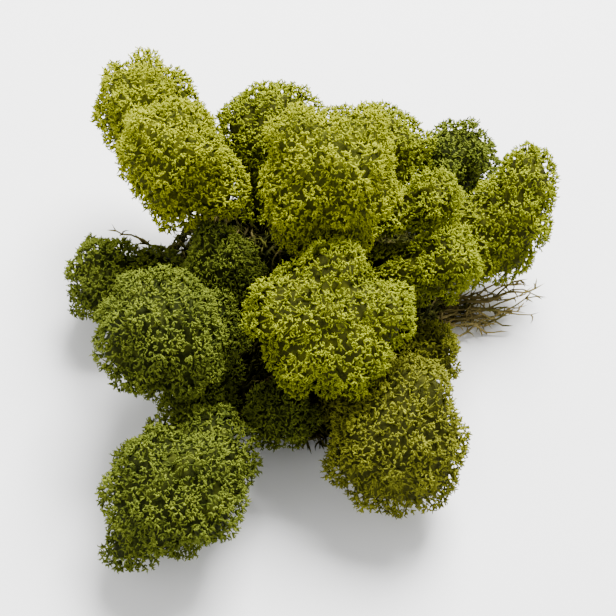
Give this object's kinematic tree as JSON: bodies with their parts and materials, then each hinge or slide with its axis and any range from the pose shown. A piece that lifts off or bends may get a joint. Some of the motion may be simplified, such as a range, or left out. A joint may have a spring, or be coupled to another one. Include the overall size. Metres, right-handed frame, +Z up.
{
  "type": "reindeer moss clump",
  "caption": "Clump of reindeer moss: domed yellow-green heads of forked branchlets on a mat of old stems.",
  "frame": {"origin": "middle of the flat spot under the stem base that the clump rests on", "axes": "+Z up, +X to the right and +Y away from the side that the picture shows"},
  "size_m": [0.1098, 0.1025, 0.0592],
  "materials": {
    "moss_yellow": "matt dry branchlets, yellow-green",
    "moss_green": "matt dry branchlets, fresh green",
    "moss_deep": "matt dry branchlets, deep green",
    "moss_olive": "matt dry branchlets, olive brown",
    "old_stems": "matt old stems, grey brown"
  },
  "bodies": {
    "root": {"head_back_corner": "moss_yellow", "head_back_left": "moss_yellow", "head_back_middle": "moss_green", "head_back_right": "moss_green", "head_crown": "moss_yellow", "head_far_right": "moss_green", "head_front_left": "moss_deep", "head_front_right": "moss_olive", "head_inner_front": "moss_deep", "head_inner_left": "moss_deep", "head_inner_low": "moss_deep", "head_inner_right": "moss_olive", "head_left": "moss_deep", "head_left_low": "moss_deep", "head_middle": "moss_green", "head_right_back": "moss_deep", "head_right_lower": "moss_green", "head_right_upper": "moss_green", "stem_base": "old_stems"}
  },
  "joints": []
}
